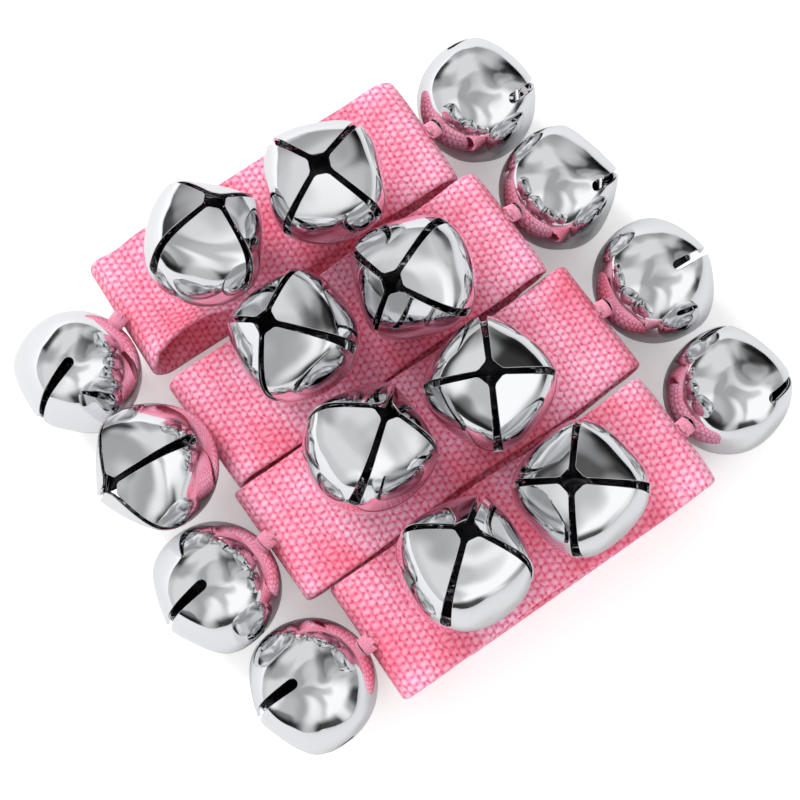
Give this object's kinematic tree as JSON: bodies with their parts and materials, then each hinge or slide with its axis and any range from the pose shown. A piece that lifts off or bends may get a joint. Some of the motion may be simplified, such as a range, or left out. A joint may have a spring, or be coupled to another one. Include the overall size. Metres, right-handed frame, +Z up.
{
  "type": "bell bracelet",
  "caption": "Soft webbing wrist bands closed by hook-and-loop tape into flattened loops, each carrying chromed jingle bells sewn on by their wire shanks.",
  "frame": {"origin": "under the middle of the whole set, on the surface that it lies on", "axes": "+X along the bands towards their right folds, +Y towards the rear band, +Z up"},
  "size_m": [0.1246, 0.104, 0.0404],
  "materials": {
    "webbing": "woven matt nylon",
    "hook_tape": "stiff nylon hooks",
    "bell_chrome": "mirror plating on pressed steel",
    "shank_wire": "plated wire",
    "pellet_steel": "dull steel ball"
  },
  "bodies": {
    "bracelet_1": {"bracelet_1_strap": "webbing"},
    "flap_1": {"bracelet_1_flap": "webbing", "bracelet_1_hook_tape": "hook_tape"},
    "bell_1a": {"bracelet_1_bell_a_shell": "bell_chrome", "bracelet_1_bell_a_shank": "shank_wire"},
    "pellet_1a": {"bracelet_1_bell_a_pellet": "pellet_steel"},
    "bell_1b": {"bracelet_1_bell_b_shell": "bell_chrome", "bracelet_1_bell_b_shank": "shank_wire"},
    "pellet_1b": {"bracelet_1_bell_b_pellet": "pellet_steel"},
    "bell_1c": {"bracelet_1_bell_c_shell": "bell_chrome", "bracelet_1_bell_c_shank": "shank_wire"},
    "pellet_1c": {"bracelet_1_bell_c_pellet": "pellet_steel"},
    "bell_1d": {"bracelet_1_bell_d_shell": "bell_chrome", "bracelet_1_bell_d_shank": "shank_wire"},
    "pellet_1d": {"bracelet_1_bell_d_pellet": "pellet_steel"},
    "bracelet_2": {"bracelet_2_strap": "webbing"},
    "flap_2": {"bracelet_2_flap": "webbing", "bracelet_2_hook_tape": "hook_tape"},
    "bell_2a": {"bracelet_2_bell_a_shell": "bell_chrome", "bracelet_2_bell_a_shank": "shank_wire"},
    "pellet_2a": {"bracelet_2_bell_a_pellet": "pellet_steel"},
    "bell_2b": {"bracelet_2_bell_b_shell": "bell_chrome", "bracelet_2_bell_b_shank": "shank_wire"},
    "pellet_2b": {"bracelet_2_bell_b_pellet": "pellet_steel"},
    "bell_2c": {"bracelet_2_bell_c_shell": "bell_chrome", "bracelet_2_bell_c_shank": "shank_wire"},
    "pellet_2c": {"bracelet_2_bell_c_pellet": "pellet_steel"},
    "bell_2d": {"bracelet_2_bell_d_shell": "bell_chrome", "bracelet_2_bell_d_shank": "shank_wire"},
    "pellet_2d": {"bracelet_2_bell_d_pellet": "pellet_steel"},
    "bracelet_3": {"bracelet_3_strap": "webbing"},
    "flap_3": {"bracelet_3_flap": "webbing", "bracelet_3_hook_tape": "hook_tape"},
    "bell_3a": {"bracelet_3_bell_a_shell": "bell_chrome", "bracelet_3_bell_a_shank": "shank_wire"},
    "pellet_3a": {"bracelet_3_bell_a_pellet": "pellet_steel"},
    "bell_3b": {"bracelet_3_bell_b_shell": "bell_chrome", "bracelet_3_bell_b_shank": "shank_wire"},
    "pellet_3b": {"bracelet_3_bell_b_pellet": "pellet_steel"},
    "bell_3c": {"bracelet_3_bell_c_shell": "bell_chrome", "bracelet_3_bell_c_shank": "shank_wire"},
    "pellet_3c": {"bracelet_3_bell_c_pellet": "pellet_steel"},
    "bell_3d": {"bracelet_3_bell_d_shell": "bell_chrome", "bracelet_3_bell_d_shank": "shank_wire"},
    "pellet_3d": {"bracelet_3_bell_d_pellet": "pellet_steel"},
    "bracelet_4": {"bracelet_4_strap": "webbing"},
    "flap_4": {"bracelet_4_flap": "webbing", "bracelet_4_hook_tape": "hook_tape"},
    "bell_4a": {"bracelet_4_bell_a_shell": "bell_chrome", "bracelet_4_bell_a_shank": "shank_wire"},
    "pellet_4a": {"bracelet_4_bell_a_pellet": "pellet_steel"},
    "bell_4b": {"bracelet_4_bell_b_shell": "bell_chrome", "bracelet_4_bell_b_shank": "shank_wire"},
    "pellet_4b": {"bracelet_4_bell_b_pellet": "pellet_steel"},
    "bell_4c": {"bracelet_4_bell_c_shell": "bell_chrome", "bracelet_4_bell_c_shank": "shank_wire"},
    "pellet_4c": {"bracelet_4_bell_c_pellet": "pellet_steel"},
    "bell_4d": {"bracelet_4_bell_d_shell": "bell_chrome", "bracelet_4_bell_d_shank": "shank_wire"},
    "pellet_4d": {"bracelet_4_bell_d_pellet": "pellet_steel"}
  },
  "joints": [
    {"name": "bracelet_1_lift", "type": "slide", "parent": "bracelet_2", "child": "bracelet_1", "axis": [0, 0.1045, 0.9945], "range_m": [0, 0.045]},
    {"name": "flap_1_peel", "type": "hinge", "parent": "bracelet_1", "child": "flap_1", "pos_m": [0.02041, 0.0377, 0], "axis": [-0.0389, -0.9992, 0], "range_deg": [0, 100]},
    {"name": "bell_1a_swivel", "type": "hinge", "parent": "bracelet_1", "child": "bell_1a", "pos_m": [-0.0377, 0.03898, 0.01373], "axis": [-0.9401, -0.322, -0.112], "range_deg": [-15, 15]},
    {"name": "pellet_1a_rattle", "type": "slide", "parent": "bell_1a", "child": "pellet_1a", "axis": [0, 0, 1], "range_m": [0, 0.009]},
    {"name": "bell_1b_rock", "type": "hinge", "parent": "bracelet_1", "child": "bell_1b", "pos_m": [-0.02324, 0.03474, 0.01605], "axis": [-0.0389, -0.9992, 0], "range_deg": [0, 6]},
    {"name": "pellet_1b_rattle", "type": "slide", "parent": "bell_1b", "child": "pellet_1b", "axis": [0, 0, 1], "range_m": [0, 0.009]},
    {"name": "bell_1c_rock", "type": "hinge", "parent": "bracelet_1", "child": "bell_1c", "pos_m": [0.00819, 0.03449, 0.01605], "axis": [0.0389, 0.9992, 0], "range_deg": [0, 6]},
    {"name": "pellet_1c_rattle", "type": "slide", "parent": "bell_1c", "child": "pellet_1c", "axis": [0, 0, 1], "range_m": [0, 0.009]},
    {"name": "bell_1d_swivel", "type": "hinge", "parent": "bracelet_1", "child": "bell_1d", "pos_m": [0.03233, 0.03527, 0.01666], "axis": [0.9381, 0.1028, -0.3308], "range_deg": [-15, 15]},
    {"name": "pellet_1d_rattle", "type": "slide", "parent": "bell_1d", "child": "pellet_1d", "axis": [0, 0, 1], "range_m": [0, 0.009]},
    {"name": "bracelet_2_lift", "type": "slide", "parent": "bracelet_3", "child": "bracelet_2", "axis": [0, 0.1045, 0.9945], "range_m": [0, 0.045]},
    {"name": "flap_2_peel", "type": "hinge", "parent": "bracelet_2", "child": "flap_2", "pos_m": [0.02043, 0.01184, 0], "axis": [0.0158, -0.9999, 0], "range_deg": [0, 100]},
    {"name": "bell_2a_swivel", "type": "hinge", "parent": "bracelet_2", "child": "bell_2a", "pos_m": [-0.03822, 0.00993, 0.00781], "axis": [-0.745, -0.0118, 0.667], "range_deg": [-15, 15]},
    {"name": "pellet_2a_rattle", "type": "slide", "parent": "bell_2a", "child": "pellet_2a", "axis": [0, 0, 1], "range_m": [0, 0.009]},
    {"name": "bell_2b_swivel", "type": "hinge", "parent": "bracelet_2", "child": "bell_2b", "pos_m": [-0.00985, 0.00965, 0.01605], "axis": [-0.3314, 0.2071, 0.9205], "range_deg": [-15, 15]},
    {"name": "pellet_2b_rattle", "type": "slide", "parent": "bell_2b", "child": "pellet_2b", "axis": [0, 0, 1], "range_m": [0, 0.009]},
    {"name": "bell_2c_rock", "type": "hinge", "parent": "bracelet_2", "child": "bell_2c", "pos_m": [0.01655, 0.0108, 0.01605], "axis": [-0.0158, 0.9999, 0], "range_deg": [0, 6]},
    {"name": "pellet_2c_rattle", "type": "slide", "parent": "bell_2c", "child": "pellet_2c", "axis": [0, 0, 1], "range_m": [0, 0.009]},
    {"name": "bell_2d_swivel", "type": "hinge", "parent": "bracelet_2", "child": "bell_2d", "pos_m": [0.0349, 0.01219, 0.01699], "axis": [0.9346, -0.0027, -0.3556], "range_deg": [-15, 15]},
    {"name": "pellet_2d_rattle", "type": "slide", "parent": "bell_2d", "child": "pellet_2d", "axis": [0, 0, 1], "range_m": [0, 0.009]},
    {"name": "bracelet_3_lift", "type": "slide", "parent": "bracelet_4", "child": "bracelet_3", "axis": [0, 0.1045, 0.9945], "range_m": [0, 0.045]},
    {"name": "flap_3_peel", "type": "hinge", "parent": "bracelet_3", "child": "flap_3", "pos_m": [0.02043, -0.01364, 0], "axis": [0.0079, -1, 0], "range_deg": [0, 100]},
    {"name": "bell_3a_swivel", "type": "hinge", "parent": "bracelet_3", "child": "bell_3a", "pos_m": [-0.03801, -0.01317, 0.01509], "axis": [-0.9705, -0.1122, -0.2134], "range_deg": [-15, 15]},
    {"name": "pellet_3a_rattle", "type": "slide", "parent": "bell_3a", "child": "pellet_3a", "axis": [0, 0, 1], "range_m": [0, 0.009]},
    {"name": "bell_3b_rock", "type": "hinge", "parent": "bracelet_3", "child": "bell_3b", "pos_m": [-0.02097, -0.01446, 0.01605], "axis": [0.0079, -1, 0], "range_deg": [0, 6]},
    {"name": "pellet_3b_rattle", "type": "slide", "parent": "bell_3b", "child": "pellet_3b", "axis": [0, 0, 1], "range_m": [0, 0.009]},
    {"name": "bell_3c_rock", "type": "hinge", "parent": "bracelet_3", "child": "bell_3c", "pos_m": [0.01054, -0.01494, 0.01605], "axis": [-0.0079, 1, 0], "range_deg": [0, 6]},
    {"name": "pellet_3c_rattle", "type": "slide", "parent": "bell_3c", "child": "pellet_3c", "axis": [0, 0, 1], "range_m": [0, 0.009]},
    {"name": "bell_3d_swivel", "type": "hinge", "parent": "bracelet_3", "child": "bell_3d", "pos_m": [0.038, -0.01301, 0.01512], "axis": [0.9745, -0.062, -0.2155], "range_deg": [-15, 15]},
    {"name": "pellet_3d_rattle", "type": "slide", "parent": "bell_3d", "child": "pellet_3d", "axis": [0, 0, 1], "range_m": [0, 0.009]},
    {"name": "flap_4_peel", "type": "hinge", "parent": "bracelet_4", "child": "flap_4", "pos_m": [0.02043, -0.0396, 0], "axis": [-0.0079, -1, 0], "range_deg": [0, 100]},
    {"name": "bell_4a_swivel", "type": "hinge", "parent": "bracelet_4", "child": "bell_4a", "pos_m": [-0.03378, -0.03956, 0.01608], "axis": [-0.9578, 0.0076, -0.2873], "range_deg": [-15, 15]},
    {"name": "pellet_4a_rattle", "type": "slide", "parent": "bell_4a", "child": "pellet_4a", "axis": [0, 0, 1], "range_m": [0, 0.009]},
    {"name": "bell_4b_rock", "type": "hinge", "parent": "bracelet_4", "child": "bell_4b", "pos_m": [-0.0159, -0.04274, 0.01605], "axis": [-0.0079, -1, 0], "range_deg": [0, 6]},
    {"name": "pellet_4b_rattle", "type": "slide", "parent": "bell_4b", "child": "pellet_4b", "axis": [0, 0, 1], "range_m": [0, 0.009]},
    {"name": "bell_4c_rock", "type": "hinge", "parent": "bracelet_4", "child": "bell_4c", "pos_m": [0.01472, -0.04115, 0.01605], "axis": [0.0079, 1, 0], "range_deg": [0, 6]},
    {"name": "pellet_4c_rattle", "type": "slide", "parent": "bell_4c", "child": "pellet_4c", "axis": [0, 0, 1], "range_m": [0, 0.009]},
    {"name": "bell_4d_swivel", "type": "hinge", "parent": "bracelet_4", "child": "bell_4d", "pos_m": [0.03636, -0.04063, 0.01648], "axis": [0.9433, 0.0971, -0.3173], "range_deg": [-15, 15]},
    {"name": "pellet_4d_rattle", "type": "slide", "parent": "bell_4d", "child": "pellet_4d", "axis": [0, 0, 1], "range_m": [0, 0.009]}
  ]
}
